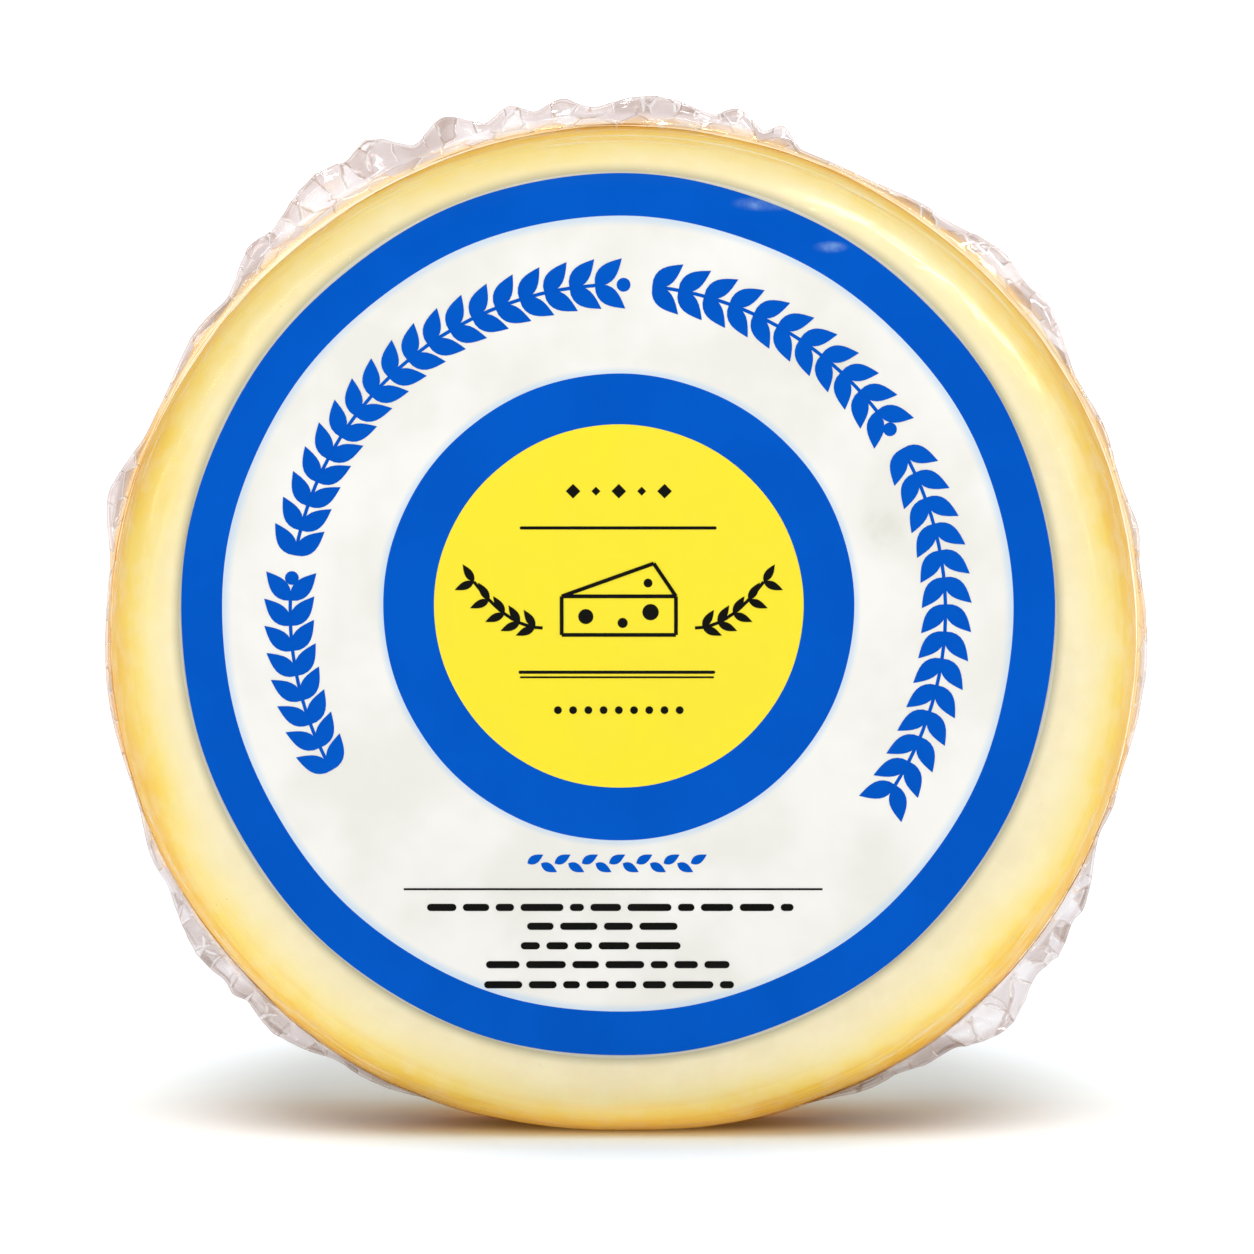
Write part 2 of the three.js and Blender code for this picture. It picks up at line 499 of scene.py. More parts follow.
LOOSE_TONES = [  # from facets that face the eye to facets seen edge-on
    (0.0, linear(248, 245, 245)),
    (0.06, linear(241, 236, 236)),
    (0.16, linear(233, 226, 226)),
    (0.4, linear(224, 214, 211)),
    (1.0, linear(206, 190, 182)),
]
CLEAR = linear(254, 253, 252)
# Painted shade along the loose film's ridges: grey, and warm near the rim.
PAINTED_CREASE_GREY = linear(204, 184, 176)
PAINTED_CREASE_WARM = linear(248, 204, 146)
# Painted orange refraction of the cheese in facets near the rim.
PAINTED_ORANGE_REFRACTION = linear(250, 222, 176)
GOLD = linear(253, 226, 158)
# Painted refraction lines of the cheese's colour in the creased film.
PAINTED_REFRACTION_LINE = linear(234, 184, 116)
# White haze of the film, which also carries the painted highlight lines.
HAZE_AND_HIGHLIGHT = linear(246, 243, 243)
# Painted reflection of the cheese in the film's gloss near the rim.
PAINTED_CHEESE_REFLECTION = linear(252, 218, 150)

# Each print colour with the fainter one that clouds it.
BLUE = (linear(0, 82, 186), linear(1, 87, 193))
PAPER = (linear(240, 237, 231), linear(228, 225, 216))
YELLOW = (linear(246, 226, 54), linear(243, 223, 60))
BLACK = (linear(16, 16, 14), linear(22, 22, 20))
GLEAM = linear(170, 205, 234)
BLUISH_EDGE = linear(176, 205, 232)
GREY_PATCH = linear(218, 216, 204)

FLOOR_TONES = [(0.88, 0.91, 0.94, 1), (0.90, 0.93, 0.96, 1)]
# Colour of the painted contact shadow.
CONTACT_SHADOW_TONE = (0.30, 0.27, 0.23, 1)
GLOW_TONE = (0.90, 0.96, 1, 1)


# Materials

def cheese_material():
    """Pale cream near the print, gold towards the smoked rim, with soft mottling and specks, a painted
    shadow beside the print and a painted glow just above the floor.
    """
    material, nodes, surface = new_material("smoked_rind")
    rim_share = nodes.oval_share(WHEEL)
    place = nodes.add("SeparateXYZ", {0: nodes.position()}).outputs
    height = place["Z"]
    drift = nodes.times(nodes.math("SUBTRACT", nodes.noise(60, 4, 0.6), 0.5), 0.08)
    paler_top = nodes.span(height, 0.09, 0.16, 0, -0.045)
    share = nodes.plus(nodes.plus(rim_share, drift), paler_top)
    colour = nodes.ramp(nodes.span(share, 0.80, 1.02), RIND_TONES)

    streaks = nodes.rim_streaks(rim_share, 60)
    smoke = nodes.times(nodes.span(streaks, 0.52, 0.66), nodes.span(share, 0.90, 0.97))
    colour = nodes.stain(colour, smoke, 0.35, SMOKE)
    curds = nodes.span(nodes.noise(240, 3, 0.55), 0.35, 0.7)
    colour = nodes.stain(colour, curds, 0.22, CURD)

    on_front = nodes.fade(place["Y"], -0.002, 0.002)
    print_share = nodes.oval_share(RIM)
    # Painted shadow: the cheese darkened just outside the print, where the print would shade it.
    print_shadow_mask = nodes.times(on_front, nodes.fade(print_share, 0.998, 1.03))
    colour = nodes.stain(colour, print_shadow_mask, 0.95, PAINTED_PRINT_SHADOW)
    edge_line = nodes.times(on_front, nodes.fade(print_share, 1.003, 1.007))
    colour = nodes.stain(colour, edge_line, 0.5, PRINT_EDGE)
    specks = nodes.span(nodes.noise(1300, 1, 0.4), 0.80, 0.85)
    colour = nodes.stain(colour, specks, 0.5, SPECK)
    shader = nodes.add("BsdfPrincipled", {
        "Base Color": colour,
        "Roughness": 0.5,
        "Specular IOR Level": 0.25,
        "Subsurface Weight": 0.3,
        "Subsurface Radius": (0.006, 0.0035, 0.0015),
        "Subsurface Scale": 0.15,
        # Painted glow: the cheese gives off gold light just above the floor, to lighten its shaded
        # underside.
        "Emission Color": PAINTED_FOOT_GLOW,
        "Emission Strength": nodes.fade(height, 0.0005, 0.007, 0.30),
    })
    nodes.feed(surface, shader.outputs[0])
    return material


def film_facets(nodes, along, out):
    """The loose film's facets, taller further out: a random vector and the distance to their edge."""
    along = nodes.plus(along, nodes.times(nodes.noise(160, 1, 0.5), FACET_BEND))
    low_cell, low_edge = nodes.facets(along, out, *LOW_FACETS)
    high_cell, high_edge = nodes.facets(along, out, *HIGH_FACETS)
    upper = nodes.span(out, *TALLER_FACETS)
    cell = nodes.blend(upper, low_cell, high_cell)
    rise = nodes.math("SUBTRACT", high_edge, low_edge)
    return cell, nodes.plus(low_edge, nodes.times(upper, rise))


def film_normal(nodes, cell, off_rim):
    """The surface's normal, tilted at random in each facet of the loose film."""
    tilt = nodes.vector("MULTIPLY_ADD", cell, FACET_TILT, HALF_TILT)
    loose_tilt = nodes.add("VectorMath", {0: tilt, "Scale": off_rim}, operation="SCALE").outputs[0]
    upright = nodes.add("NewGeometry").outputs["Normal"]
    return nodes.vector("NORMALIZE", nodes.vector("ADD", upright, loose_tilt))


def film_tint(nodes, normal, cell, out, off_rim, painted_crease_shade):
    """The film's colour to light that passes: clear where it clings, greyish where loose, with painted
    shade along the ridges, painted orange refraction of the cheese near the rim, and gold over the rim.
    """
    edge_on = nodes.add("LayerWeight", {"Blend": 0.35, "Normal": normal}).outputs["Facing"]
    tint = nodes.blend(off_rim, CLEAR, nodes.ramp(edge_on, LOOSE_TONES))
    # Painted shade along the ridges, warmer near the rim.
    crease_shade_tint = nodes.blend(nodes.fade(out, *WARM_CREASE_SHADE_END), PAINTED_CREASE_GREY, PAINTED_CREASE_WARM)
    tint = nodes.stain(tint, painted_crease_shade, 0.5, crease_shade_tint)
    # Painted refraction: facets beside the rim tinted orange, as if the cheese showed through them.
    refraction_cells = nodes.span(nodes.add("SeparateColor", {0: cell}).outputs[0], 0.2, 0.9)
    beside_rim = nodes.times(off_rim, nodes.fade(out, *ORANGE_REFRACTION_END))
    tint = nodes.stain(tint, nodes.times(beside_rim, refraction_cells), 0.45, PAINTED_ORANGE_REFRACTION)
    gold = nodes.times(nodes.span(out, *GOLD_START), nodes.fade(out, *GOLD_END))
    return nodes.stain(tint, gold, 0.38, GOLD)


def film_gloss(nodes, normal, streaks, out):
    """The film's mirror gloss, tinted warm near the rim as a painted reflection of the cheese, and its
    share: little straight on, more at a slant where it is loose.
    """
    gloss = nodes.add("BsdfGlossy", {
        "Color": nodes.blend(nodes.fade(out, *CHEESE_REFLECTION_END), WHITE, PAINTED_CHEESE_REFLECTION),
        "Roughness": nodes.span(out, -1.6, 0.4, 0.17, 0.07),
        "Normal": normal,
    })
    slant = nodes.add("LayerWeight", {"Blend": 0.5, "Normal": normal}).outputs["Facing"]
    stronger_out = nodes.span(out, 0.2, 2.2, 0.08, 0.5)
    patchy = nodes.times(stronger_out, nodes.span(streaks, 0.4, 0.6, 0.4, 1))
    steep = nodes.times(nodes.math("POWER", slant, 5.0), patchy)
    straight = nodes.span(out, -0.8, 0.8, CLINGING_GLOSS, LOOSE_GLOSS)
    return gloss, nodes.plus(steep, straight)


def film_material():
    """Clear bag: see-through where it clings, in facets with painted highlight lines and painted shade
    lines where it is loose, and painted refraction of the cheese near the rim.
    """
    material, nodes, surface = new_material("clear_bag")
    rim_share = nodes.oval_share(WHEEL)
    along, out = nodes.rim_place(rim_share)
    off_rim = nodes.span(out, *LEAVING_RIM)
    cell, edge = film_facets(nodes, along, out)
    normal = film_normal(nodes, cell, off_rim)
    streaks = nodes.rim_streaks(rim_share, 150)

    # Painted lines along the facets' edges where the film is loose: dark ones are painted shade, bright
    # ones painted highlights.
    ridge = nodes.times(nodes.fade(edge, 0.015, 0.06), off_rim)
    kind = nodes.noise(260, 1, 0.5)
    painted_crease_shade = nodes.times(ridge, nodes.fade(kind, 0.42, 0.48))
    painted_ridge_highlight = nodes.times(ridge, nodes.span(kind, 0.44, 0.50))
    tint = film_tint(nodes, normal, cell, out, off_rim, painted_crease_shade)
    # Painted refraction lines: brown lines of the cheese's colour along the rim, in a band wider low down.
    height = nodes.add("SeparateXYZ", {0: nodes.position()}).outputs["Z"]
    wider_below = nodes.plus(out, nodes.fade(height, 0.02, 0.07, 2.6))
    lined = nodes.times(nodes.span(wider_below, *LINES_START), nodes.fade(out, *LINES_END))
    painted_refraction_lines = nodes.times(lined, nodes.contour(streaks, 0.43, 0.014))
    tint = nodes.stain(tint, painted_refraction_lines, 0.4, PAINTED_REFRACTION_LINE)
    # Painted highlight lines along the rim.
    painted_highlight_lines = nodes.times(lined, nodes.contour(streaks, 0.56, 0.010))

    clear = nodes.add("BsdfTransparent", {"Color": tint})
    haze_and_highlight = nodes.add("BsdfDiffuse", {"Color": HAZE_AND_HIGHLIGHT})
    # Painted highlights: the bright ridge lines and pale rim lines shown in the white haze.
    painted_highlights = nodes.times(nodes.math("MAXIMUM", painted_ridge_highlight, painted_highlight_lines), 0.7)
    haze_and_painted_highlights = nodes.plus(nodes.times(off_rim, 0.04), painted_highlights)
    body = nodes.add("MixShader", {0: haze_and_painted_highlights, 1: clear.outputs[0], 2: haze_and_highlight.outputs[0]})
    gloss, share = film_gloss(nodes, normal, streaks, out)
    shader = nodes.add("MixShader", {0: share, 1: body.outputs[0], 2: gloss.outputs[0]})
    nodes.feed(surface, shader.outputs[0])
    return material


def print_material(name, colours, edges=(), patches=()):
    """Print on the film: a faintly clouded colour, a tint near the given edges, and soft patches."""
    material, nodes, surface = new_material(name)
    colour, faint = colours
    clouds = nodes.span(nodes.noise(45, 3, 0.55), 0.36, 0.64)
    tone = nodes.stain(colour, clouds, 0.8, faint)
    for oval, tint, width in edges:
        edge = nodes.contour(nodes.oval_share(oval), 1.0, width / oval[2])
        tone = nodes.stain(tone, edge, 0.6, tint)
    for oval, tint, amount in patches:
        broken = nodes.span(nodes.noise(260, 3, 0.6), 0.35, 0.65, 0.25, 1)
        patch = nodes.times(nodes.fade(nodes.oval_share(oval), 0.2, 1.0), broken)
        tone = nodes.stain(tone, patch, amount, tint)
    shader = nodes.add("BsdfPrincipled", {
        "Base Color": tone,
        "Roughness": 0.38,
        "Specular IOR Level": 0.02,
    })
    nodes.feed(surface, shader.outputs[0])
    return material


def floor_material():
    """White studio floor: a painted contact shadow at the wheel's foot, lit by the lamps near it with
    a painted glow round the soft shadow, and glowing far off.
    """
    material, nodes, surface = new_material("studio_floor")
    grain = nodes.span(nodes.noise(14, 4, 0.6), 0.2, 0.8)
    colour = nodes.blend(grain, *FLOOR_TONES)
    # Painted contact shadow: the floor darkened where the wheel stands on it.
    from_contact_shadow = nodes.vector("SUBTRACT", nodes.position(), CONTACT_SHADOW_MIDDLE)
    foot = nodes.fade(nodes.length(nodes.vector("MULTIPLY", from_contact_shadow, CONTACT_SHADOW_SCALE)), 0.35, 1.0)
    colour = nodes.stain(colour, foot, CONTACT_SHADOW_DARKNESS, CONTACT_SHADOW_TONE)
    matt = nodes.add("BsdfDiffuse", {"Color": colour})

    # Painted glow: the floor emits light outside an oval round the wheel, which leaves a painted soft
    # shadow within it.
    moved = nodes.vector("SUBTRACT", nodes.position(), SHADOW_MIDDLE)
    distance = nodes.length(moved)
    from_shadow = nodes.length(nodes.vector("MULTIPLY", moved, SHADOW_SCALE))
    near_glow = nodes.span(from_shadow, 0.85, 1.45, 0, FLOOR_GLOW)
    strength = nodes.plus(near_glow, nodes.span(distance, 0.16, 0.6, 0, FAR_GLOW))
    glow = nodes.add("Emission", {"Color": GLOW_TONE, "Strength": strength})
    lit = nodes.add("AddShader", {0: matt.outputs[0], 1: glow.outputs[0]})
    far = nodes.add("Emission", {"Color": WHITE, "Strength": FAR_LEVEL})
    beyond = nodes.span(distance, 0.45, 0.60)
    shader = nodes.add("MixShader", {0: beyond, 1: lit.outputs[0], 2: far.outputs[0]})
    nodes.feed(surface, shader.outputs[0])
    return material


# Pieces

def make_cheese():
    """The wheel itself, a hair inside the bag."""
    angle = ring_of_angles(CHEESE_STEPS)
    rim = outline(angle)
    flat = rim - SHOULDER
    half = [(flat * share, 0 * flat + HALF_THICKNESS) for share in (0.0005, 0.5, 0.8, 0.93)]
    for step in np.linspace(0, np.pi / 2, SHOULDER_STEPS):
        share = np.sin(step) ** (2 / SQUARENESS)
        half.append((flat + SHOULDER * share, 0 * flat + side_depth(share)))
    columns = [wheel_points(angle, r, -depth) for r, depth in half]
    columns += [wheel_points(angle, r, depth) for r, depth in reversed(half[:-1])]
    points = np.concatenate(columns, axis=1)
    points = points + grid_normals(points) * (relief(points) - CHEESE_INSET)[..., None]
    cheese = grid_object("cheese", press_on_floor(points, 0.08), cheese_material())
    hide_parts("wrapped_cheese")
    return cheese


def crumple(along, out, facet, seed):
    """Random flat facets round the rim, each about this length, width and height: the film's height."""
    length, width, tall = facet
    generator = random.Random(seed)
    columns = round(RIM_LENGTH / length)
    step = RIM_LENGTH / columns
    rows = int(out.max() / width) + 4
    shifts = [[[generator.uniform(-1, 1) for _ in range(3)] for _ in range(rows)] for _ in range(columns)]
    vertices, faces = [], []
    for i in range(-1, columns + 2):
        for j in range(rows):
            aside, outward, height = shifts[i % columns][j]
            vertices.append(((i + 0.35 * aside) * step, (j - 1 + 0.35 * outward) * width, height))
    for i in range(columns + 2):
        for j in range(rows - 1):
            a, b = i * rows + j, (i + 1) * rows + j
            if ((i - 1) % columns + j) % 2:
                faces += [(a, b, b + 1), (a, b + 1, a + 1)]
            else:
                faces += [(a, b, a + 1), (b, b + 1, a + 1)]
    sheet = BVHTree.FromPolygons(vertices, faces)
    along, out = np.broadcast_arrays(along, out)
    hits = [sheet.ray_cast((x, y, -2), (0, 0, 1))[0].z for x, y in zip(along.ravel(), out.ravel())]
    return tall * np.array(hits).reshape(out.shape)


def crease_height(angle, inset):
    """Height of the bag's creases at an angle and a distance in from the rim."""
    degrees = np.degrees(angle) + 0 * inset
    height = np.zeros_like(inset)
    for start, end, at, tall, width in CREASES:
        middle, half = (start + end) / 2, (end - start) / 2
        along = ((degrees - middle + 540) % 360 - 180) / half
        window = smoothstep(1 - np.abs(along), 0, 0.35)
        wander = 1.1 * np.sin(4.1 * along + at) + 0.5 * np.sin(11 * along + 2 * at)
        broken = 0.55 + 0.45 * np.sin(23 * along + 3 * at) * np.sin(9 * along)
        profile = np.exp(-(((inset - at - wander) / width) ** 2))
        height += tall * window * broken * profile
    generator = random.Random(SEED + 1)
    for _ in range(SMALL_PINCHES):
        at = generator.uniform(0, 360)
        deep = generator.uniform(2.0, 10.0)
        slope = generator.uniform(-1.2, 1.2)
        long = generator.uniform(0.9, 2.2)
        along = turn_between(degrees, at) * math.radians(HALF_WIDTH)
        signed = ((degrees - at + 540) % 360 - 180) * math.radians(HALF_WIDTH)
        across = inset - deep - slope * signed
        height += PINCH_HEIGHT * np.exp(-((along / long) ** 2)) * np.exp(-((across / PINCH_WIDTH) ** 2))
    return height


def fringe_foot(out):
    """How far out of the rim the fringe's two layers start to part."""
    return np.minimum(0.5, 0.3 * out)


def fringe_layer(angle, rim, steps, side):
    """One layer of the fringe from its foot to its rolled edge: crumpled low down, broad facets above."""
    along = angle * HALF_WIDTH
    out = reach(angle)
    foot = fringe_foot(out)
    share = np.linspace(0, 1, steps)[None, :]
    height = foot + (out - 1.5 * EDGE_ROLL - foot) * share
    low = crumple(along, height, LOW_CRUMPLE, SEED + side)
    high = crumple(along, height, HIGH_CRUMPLE, SEED + 5 + side)
    high += crumple(along, height, TALL_CRUMPLE, SEED + 10 + side)
    fade = smoothstep(share, 0.2, 0.6)
    facets = low * (1 - fade) + high * fade
    size = np.minimum(1, out / 3.5) * (1 - 0.6 * smoothstep(share, 0.75, 1))
    middle = FOOT_Y + (FRINGE_Y + sway(angle) - FOOT_Y) * share ** 1.2
    apart = 0.25 + 0.35 * np.sin(np.pi * share)
    depth = middle + side * (apart + (1 + facets) * 0.5 * size)
    return wheel_points(angle, rim + height, depth)


def leaving_radius(rim, leave_y):
    """Distance from the axis at which the bag leaves the cheese."""
    return rim - SHOULDER + SHOULDER * side_share(leave_y)


def pleated_columns(angle, rim, leave_y, layer_end, steps, seed):
    """Pleats that run along the rim, between the shoulder and the foot of the fringe."""
    along = angle * HALF_WIDTH
    share = np.linspace(0, 1, steps, endpoint=False)[None, :]
    pleats = crumple(along, 6 * share + 0 * along, PLEATS, seed)
    window = np.sin(np.pi * share) + 0.25 * share
    start = leaving_radius(rim, leave_y) + 0.12
    radius = start + (rim + fringe_foot(reach(angle)) - start) * share**1.5 + pleats * window
    return wheel_points(angle, radius, leave_y + (layer_end - leave_y) * share)


def fringe_columns(angle, rim):
    """The bag from where it leaves the front shoulder, over the fringe, to the back shoulder."""
    along = angle * HALF_WIDTH
    front = fringe_layer(angle, rim, FRINGE_FRONT_STEPS, -1)
    back = fringe_layer(angle, rim, FRINGE_BACK_STEPS, 1)[:, ::-1]
    tip = rim + reach(angle) * (1 + crumple(along, 0 * along, EDGE_NICKS, SEED + 20))
    lean = FRINGE_Y + sway(angle)
    roll = [(-1.2, -0.9), (-0.5, -1.1), (0.0, 0.0), (-0.5, 1.1), (-1.2, 0.9)]
    edge = [wheel_points(angle, tip + EDGE_ROLL * a, lean + EDGE_ROLL * b) for a, b in roll]
    to_front = pleated_columns(angle, rim, FRONT_LEAVE_Y, front[:, :1, 1], FRONT_PLEAT_STEPS, SEED + 30)
    to_back = pleated_columns(angle, rim, BACK_LEAVE_Y, back[:, -1:, 1], BACK_PLEAT_STEPS, SEED + 31)
    return np.concatenate([to_front, front, *edge, back, to_back[:, ::-1]], axis=1)


def clinging_columns(angle, rim, start, leave_y, side, count):
    """The bag where it clings to the cheese, from near the axis to the shoulder."""
    columns = []
    end = leaving_radius(rim, leave_y)
    for share in np.linspace(0, 1, count):
        radius = start + (end - start) * (1 - (1 - share) ** 1.3)
        depth = side * side_depth((radius - rim + SHOULDER) / SHOULDER)
        columns.append(wheel_points(angle, radius, depth))
    points = np.concatenate(columns, axis=1)
    inset = rim - np.hypot(points[..., 0], points[..., 2])
    outward = grid_normals(points) * -side
    streaks = crumple(angle * HALF_WIDTH, np.clip(inset, 0, 20), CLINGING_CRUMPLE, SEED + 40 + side)
    lift = BAG_LIFT + relief(points) + crease_height(angle, inset) + streaks * smoothstep(inset, 9, 5)
    return points + outward * lift[..., None]


def make_bag():
    """The clear bag in one sheet, from the print's edge over the fringe to the middle of the back."""
    angle = ring_of_angles(BAG_STEPS)
    rim = outline(angle)
    print_start = print_edge(RIM, angle, 0.6)
    back_start = 0.03 + 0 * rim
    front = clinging_columns(angle, rim, print_start, FRONT_LEAVE_Y, -1, BAG_FRONT_STEPS)
    back = clinging_columns(angle, rim, back_start, BACK_LEAVE_Y, 1, BAG_BACK_STEPS)[:, ::-1]
    points = np.concatenate([front, fringe_columns(angle, rim), back], axis=1)
    bag = grid_object("bag", press_on_floor(points, 0.02), film_material())
    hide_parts("wrapped_cheese")
    return bag


def field_edge(oval, angle, lift):
    """Points along the edge of a print field, on the front of the wheel, with a slight waver."""
    x, z, half_width, half_height = oval
    waver = WAVER * (half_width / RIM[2]) ** 2 * (np.sin(5 * angle + 2.1) + 0.6 * np.sin(13 * angle + 0.7))
    across = x + np.sin(angle) * (half_width + waver)
    up = z + np.cos(angle) * (half_height + waver)
    return front_points(across, up, lift)


def front_points(across, up, lift):
    """Points on the front of the wheel, lifted off it."""
    rim = outline(np.arctan2(across, up))
    share = (np.hypot(across, up) - rim + SHOULDER) / SHOULDER
    return np.stack([across, -side_depth(share) - lift, up], axis=-1)


def make_field(name, node, outer, inner, material):
    """One field of the print, between two ovals or inside one."""
    angle = ring_of_angles(FIELD_STEPS)
    outside = field_edge(outer, angle, PRINT_LIFT)
    if inner:
        inside = field_edge(inner, angle, PRINT_LIFT)
    else:
        inside = front_points(outer[0] + 0.01 * np.sin(angle), outer[1] + 0.01 * np.cos(angle), PRINT_LIFT)
    columns = []
    for share in np.linspace(0, 1, FIELD_RINGS):
        flat = inside + (outside - inside) * share
        columns.append(front_points(flat[..., 0], flat[..., 2], PRINT_LIFT))
    points = np.concatenate(columns, axis=1)[:, ::-1]
    field = grid_object(name, points[::-1], material)
    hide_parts(node)
    return field


# Simple shapes of the print, each a list of closed outlines on the front (x, z)

def leaf(x, z, angle, length, width):
    """A pointed leaf that grows from a point, at an angle clockwise from up."""
    outlines = []
    steps = np.linspace(0, 1, 9)
    for side in (1, -1):
        for t in (steps if side > 0 else steps[::-1]):
            outlines.append((t * length, side * width / 2 * math.sin(math.pi * t**0.8)))
    along = (math.sin(angle), math.cos(angle))
    across = (math.cos(angle), -math.sin(angle))
    return [(x + a * along[0] + b * across[0], z + a * along[1] + b * across[1]) for a, b in outlines]


def bar(x0, x1, z, height):
    """A level bar with rounded ends."""
    radius = height / 2
    points = []
    for centre, start in ((x1 - radius, 90), (x0 + radius, 270)):
        for step in range(7):
            turn = math.radians(start - step * 30)
            points.append((centre + radius * math.cos(turn), z + radius * math.sin(turn)))
    return points


def diamond(x, z, half):
    return [(x, z + half), (x + half, z), (x, z - half), (x - half, z)]


def disc(x, z, radius, steps=16):
    turns = [2 * math.pi * i / steps for i in range(steps)]
    return [(x + radius * math.sin(t), z + radius * math.cos(t)) for t in turns]


def ribbon(points, width):
    """A band of even width along a line, as one outline."""
    left, right = [], []
    for i, (x, z) in enumerate(points):
        before = points[max(i - 1, 0)]
        after = points[min(i + 1, len(points) - 1)]
        dx, dz = after[0] - before[0], after[1] - before[1]
        length = math.hypot(dx, dz)
        left.append((x - dz / length * width / 2, z + dx / length * width / 2))
        right.append((x + dz / length * width / 2, z - dx / length * width / 2))
    return left + right[::-1]


def make_motif(name, shapes, material):
    """Thin flat shapes on the print, each with the layer it lies in."""
    vertices, faces = [], []
    for layer, points in shapes:
        start = len(vertices)
        lift = MOTIF_LIFT + LAYER_STEP * layer
        for x, z in points:
            vertices.append((x, -HALF_THICKNESS - lift, z))
        faces.append(tuple(range(start, start + len(points))))
    piece = mesh_object(name, vertices, faces, material, smooth=False)
    piece.data.validate()
    return piece


def garland():
    """Leafy sprigs along an arc of the white field."""
    shapes = []
    x, z = FIELD[0], FIELD[1] + GARLAND_RISE

    def on_arc(degrees):
        turn = math.radians(degrees)
        return x + GARLAND_RADIUS * math.sin(turn), z + GARLAND_RADIUS * math.cos(turn)

    for start, end in SPRIGS:
        stem = [on_arc(start + (end - start) * i / 24) for i in range(25)]
        shapes.append((0, ribbon(stem, 0.55)))
        count = round((end - start) / LEAF_TURN)
        for i in range(count + 1):
            at = start + (end - start) * i / count
            for layer, side in ((1, -1), (2, 1)):
                lean = math.radians(at + 90) - side * LEAF_LEAN
                shapes.append((layer, leaf(*on_arc(at), lean, 6.0, 2.8)))
    for (_, end), (start, _) in zip(SPRIGS, SPRIGS[1:]):
        shapes.append((0, disc(*on_arc((start + end) / 2), 1.1)))
    return shapes


def small_print():
    """Rows of bars under a rule."""
    generator = random.Random(SEED + 2)
    shapes = [(0, bar(-35.0, 31.2, -39.0, 0.32))]
    for z, start, end in SMALL_ROWS:
        while start < end - SHORTEST_BAR:
            length = min(generator.uniform(*BAR_LENGTHS), end - start)
            shapes.append((0, bar(start, start + length, z, BAR_HEIGHT)))
            start += length + BAR_GAP
    return shapes


def wedge_sign():
    """A wedge of cheese between two sprigs, with rules, diamonds and dots above and below."""
    x, z = CENTRE[0], CENTRE[1]
    shapes = [
        (0, bar(x - 15.6, x + 15.4, z + 12.4, 0.5)),
        (0, bar(x - 15.8, x + 15.2, z - 10.4, 0.5)),
        (0, bar(x - 15.6, x + 15.0, z - 11.2, 0.3)),
    ]
    shapes += [(0, diamond(x + 3.6 * i, z + 18.2, 1.15 if i % 2 == 0 else 0.7)) for i in range(-2, 3)]
    shapes += [(0, disc(x + 2.4 * i, z - 16.4, 0.62)) for i in range(-4, 5)]
    left, right = x - 9, x + 9
    low, high = z - 4.5, z + 1.6
    front = [(left, low), (right, low), (right, high), (left, high), (left, low)]
    top = [(left, high), (x + 5.5, z + 6.8), (right, high)]
    lines = list(zip(front, front[1:])) + list(zip(top, top[1:]))
    shapes += [(i, ribbon(line, 0.6)) for i, line in enumerate(lines)]
    holes = [(-5.2, -1.6, 1.2), (0.6, -2.6, 0.8), (5.0, -0.9, 1.3), (4.6, 3.7, 0.7)]
    shapes += [(0, disc(x + dx, z + dz, radius)) for dx, dz, radius in holes]
    for side in (-1, 1):
        stem = [(x + side * (12 + 1.2 * i), z - 3.4 + 0.09 * i * i) for i in range(10)]
        shapes.append((0, ribbon(stem, 0.5)))
        for foot in stem[1::2]:
            for layer, lean in ((1, -0.7), (2, 0.7)):
                shapes.append((layer, leaf(*foot, side * (math.pi / 2 - 0.3 + lean), 3.3, 1.3)))
    return shapes


def blue_chain():
    """A short row of leaves below the band."""
    shapes = []
    for i in range(-6, 7):
        x = FIELD[0] + CHAIN_STEP * i - 1.4
        slant = 0.5 if i % 2 else -0.5
        shapes.append((i % 2, leaf(x, CHAIN_Z, math.pi / 2 + slant, 2.9, 1.4)))
    return shapes


def make_print():
    """The fields of colour and the shapes on them."""
    # Painted highlights: soft gleams of the film's gloss on the blue.
    gleams = [(oval, GLEAM, 0.42) for oval in GLEAMS]
    edges = [(FIELD, BLUISH_EDGE, 1.6), (BAND, BLUISH_EDGE, 1.3)]
    patches = [(oval, GREY_PATCH, 0.8) for oval in GREY_PATCHES]
    blue = print_material("print_blue", BLUE, patches=gleams)
    white = print_material("print_white", PAPER, edges, patches)
    yellow = print_material("print_yellow", YELLOW)
    black = print_material("print_black", BLACK)
    pieces = [
        (make_field("print_rim_film", "print_rim", RIM, FIELD, blue), "print_blue"),
        (make_field("print_field_film", "print_field", FIELD, BAND, white), "print_white"),
        (make_field("print_band_film", "print_band", BAND, CENTRE, blue), "print_blue"),
        (make_field("print_centre_film", "print_centre", CENTRE, None, yellow), "print_yellow"),
        (make_motif("garland", garland() + blue_chain(), blue), "print_blue"),
        (make_motif("small_rows", small_print(), black), "print_white"),
        (make_motif("wedge_sign", wedge_sign(), black), "print_yellow"),
    ]
    for piece, slot in pieces:
        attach(piece, "root")


# Stage

def make_floor():
    mesh = bpy.data.meshes.new("floor")
    corners = [(FLOOR_HALF * x, FLOOR_HALF * y, 0) for x, y in ((-1, -1), (1, -1), (1, 1), (-1, 1))]
    mesh.from_pydata(corners, [], [(0, 1, 2, 3)])
    mesh.materials.append(floor_material())
    floor = bpy.data.objects.new("floor", mesh)
    bpy.context.scene.collection.objects.link(floor)


def look_at(thing, place, target):
    thing.location = place
    thing.rotation_euler = (Vector(target) - Vector(place)).to_track_quat("-Z", "Y").to_euler()


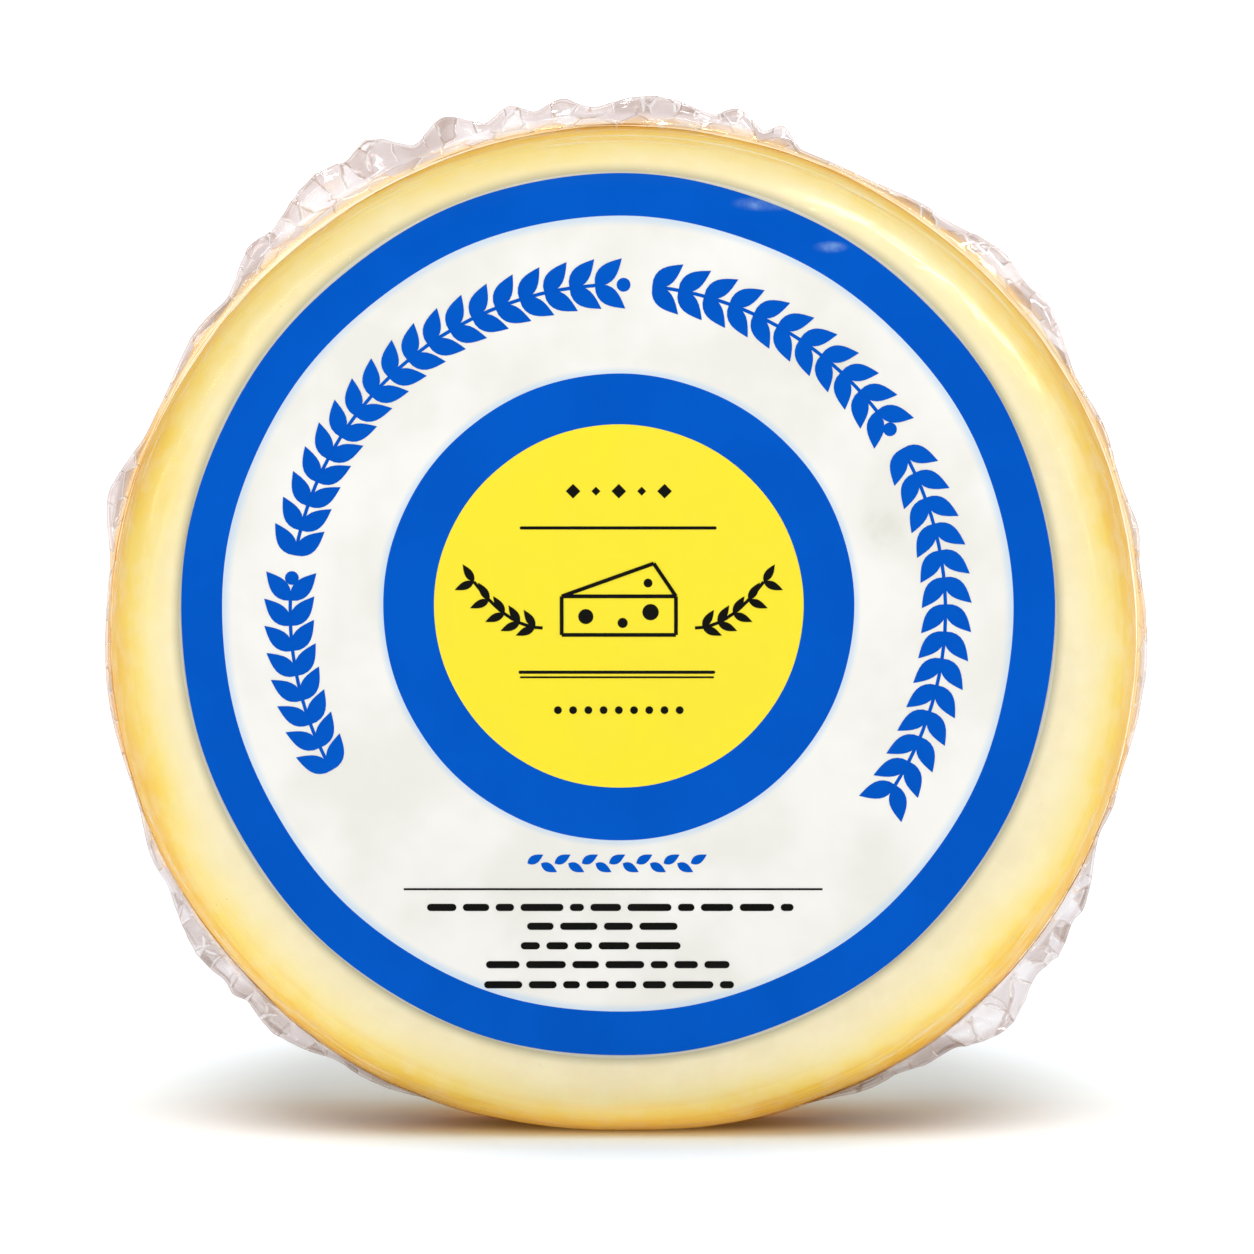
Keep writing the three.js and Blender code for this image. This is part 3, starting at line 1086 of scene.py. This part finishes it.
def make_light(name, place, width, height, power, kind):
    """A rectangular lamp that lights the surfaces or shows in their gloss, as its kind says."""
    data = bpy.data.lights.new(name, "AREA")
    data.shape = "RECTANGLE"
    data.size = width
    data.size_y = height
    data.energy = power
    light = bpy.data.objects.new(name, data)
    light.visible_diffuse = kind != "gloss"
    light.visible_glossy = kind != "light"
    bpy.context.scene.collection.objects.link(light)
    look_at(light, place, LIGHT_TARGET)


def make_lights():
    """A soft box over the front and a low one for the foot, and narrow strips for the film's gloss."""
    make_light("key_box", (0.0, -0.35, 1.15), 1.2, 0.9, 6.0, "light")
    make_light("low_box", (0.0, -0.60, 0.03), 0.50, 0.04, 0.28, "light")
    make_light("right_streak", (0.52, -0.05, 0.68), 0.12, 0.50, 9.0, "gloss")
    make_light("left_streak", (-0.60, 0.0, 0.45), 0.05, 0.60, 0.6, "gloss")
    for name, side in (("left", -1), ("right", 1)):
        make_light(f"{name}_near_strip", (0.45 * side, -1.1, 0.35), 0.03, 0.8, 0.35, "gloss")
        make_light(f"{name}_side_strip", (1.10 * side, -0.6, 0.42), 0.04, 0.9, 1.4, "gloss")
    make_light("high_strip", (0.0, -0.7, 1.0), 1.2, 0.04, 1.2, "gloss")
    world = bpy.data.worlds.new("studio")
    bpy.context.scene.world = world
    world.use_nodes = True
    nodes = Nodes(world.node_tree)
    backdrop = nodes.add("Background", {"Color": WHITE, "Strength": WORLD_STRENGTH})
    nodes.add("OutputWorld", {"Surface": backdrop.outputs[0]})


def make_camera():
    """A long lens a little above the wheel, framed as the photograph is."""
    data = bpy.data.cameras.new("camera")
    data.sensor_width = SENSOR_WIDTH
    data.lens = SENSOR_WIDTH * CAMERA_DISTANCE / (FRAME_PX * MM_PER_PX)
    data.clip_start = 0.1
    data.clip_end = 200
    camera = bpy.data.objects.new("camera", data)
    bpy.context.scene.collection.objects.link(camera)
    middle_px = FRAME_PX / 2
    tilt = math.radians(CAMERA_ELEVATION)
    aim = WHEEL_MIDDLE + np.array([
        (middle_px - WHEEL_PX[0]) * MM_PER_PX,
        0,
        (WHEEL_PX[1] - middle_px) * MM_PER_PX / math.cos(tilt),
    ])
    place = aim + CAMERA_DISTANCE * np.array([0, -math.cos(tilt), math.sin(tilt)])
    look_at(camera, tuple(place * MM), tuple(aim * MM))
    bpy.context.scene.camera = camera


bpy.context.scene.view_settings.view_transform = "Standard"
make_camera()
make_lights()
make_floor()
for piece in (make_cheese(), make_bag()):
    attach(piece, "root")
make_print()
